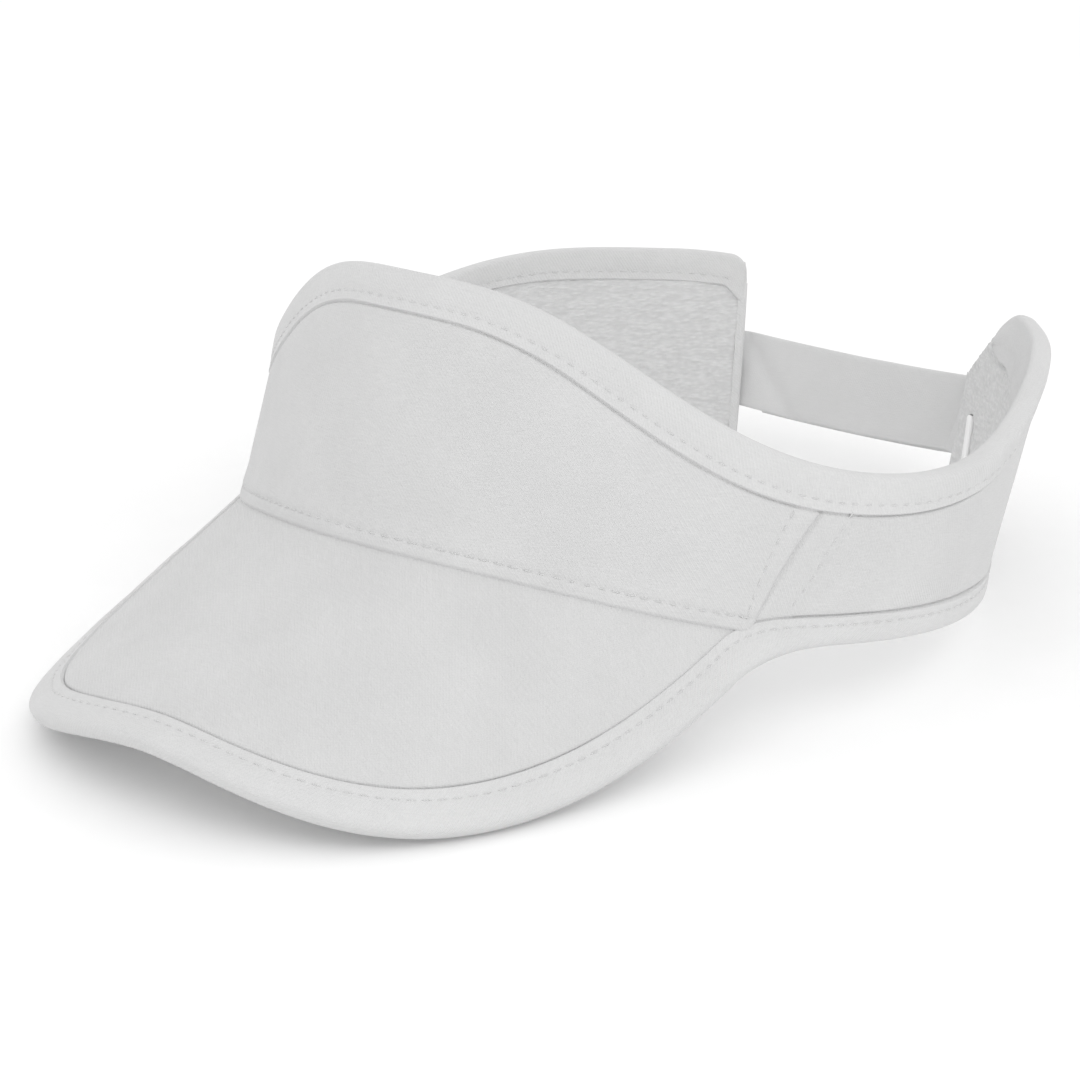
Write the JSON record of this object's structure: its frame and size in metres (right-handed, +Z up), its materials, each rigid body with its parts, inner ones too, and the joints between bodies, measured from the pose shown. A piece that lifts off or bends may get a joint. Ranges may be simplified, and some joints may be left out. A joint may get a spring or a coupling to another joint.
{
  "type": "sun visor",
  "caption": "Sun visor with an arched stiffened bill, a leaned front panel, terry-lined sides, folded bindings and a back strap that threads a plastic loop and fastens on itself.",
  "frame": {"origin": "on the table under the middle of the whole, where the bill's two corners and the side panels' back corners rest", "axes": "-Y out of the bill's front edge, +X to the wearer's left, where the plastic loop is, +Z up"},
  "size_m": [0.1849, 0.2636, 0.0927],
  "materials": {
    "shell": "brushed twill, matt",
    "binding": "folded twill tape, matt",
    "terry": "looped terry",
    "stiffener": "starched mesh",
    "bill_board": "satin sheet",
    "tape": "plain woven tape",
    "strap": "smooth, slightly satin",
    "hook": "stiff nylon hooks",
    "pile": "napped nylon loops",
    "loop_plastic": "smooth moulded"
  },
  "bodies": {
    "visor": {"bill_board": "bill_board", "bill_top_cover": "shell", "bill_under_cover": "shell", "bill_seam_tape": "tape", "lower_binding": "binding", "top_binding": "binding", "front_panel": "shell", "front_stiffener": "stiffener", "front_lining": "terry", "side_panel_left": "shell", "side_panel_right": "shell", "side_interlining_left": "stiffener", "side_interlining_right": "stiffener", "side_lining_left": "terry", "side_lining_right": "terry", "seam_tape_left": "tape", "seam_tape_right": "tape", "strap": "strap", "loop_patch": "pile", "loop_tab": "strap", "panel_stay": "loop_plastic"},
    "buckle": {"plastic_loop": "loop_plastic"},
    "tail": {"strap_tail": "strap", "hook_patch": "hook"}
  },
  "joints": [
    {"name": "loop_swing", "type": "hinge", "parent": "visor", "child": "buckle", "pos_m": [0.04055, 0.11768, 0.02398], "axis": [0.1036, 0.4347, 0.8946], "range_deg": [-8, 8]},
    {"name": "tail_peel", "type": "hinge", "parent": "visor", "child": "tail", "pos_m": [0.03831, 0.12252, 0.02189], "axis": [-0.1036, -0.4347, -0.8946], "range_deg": [0, 140]}
  ]
}
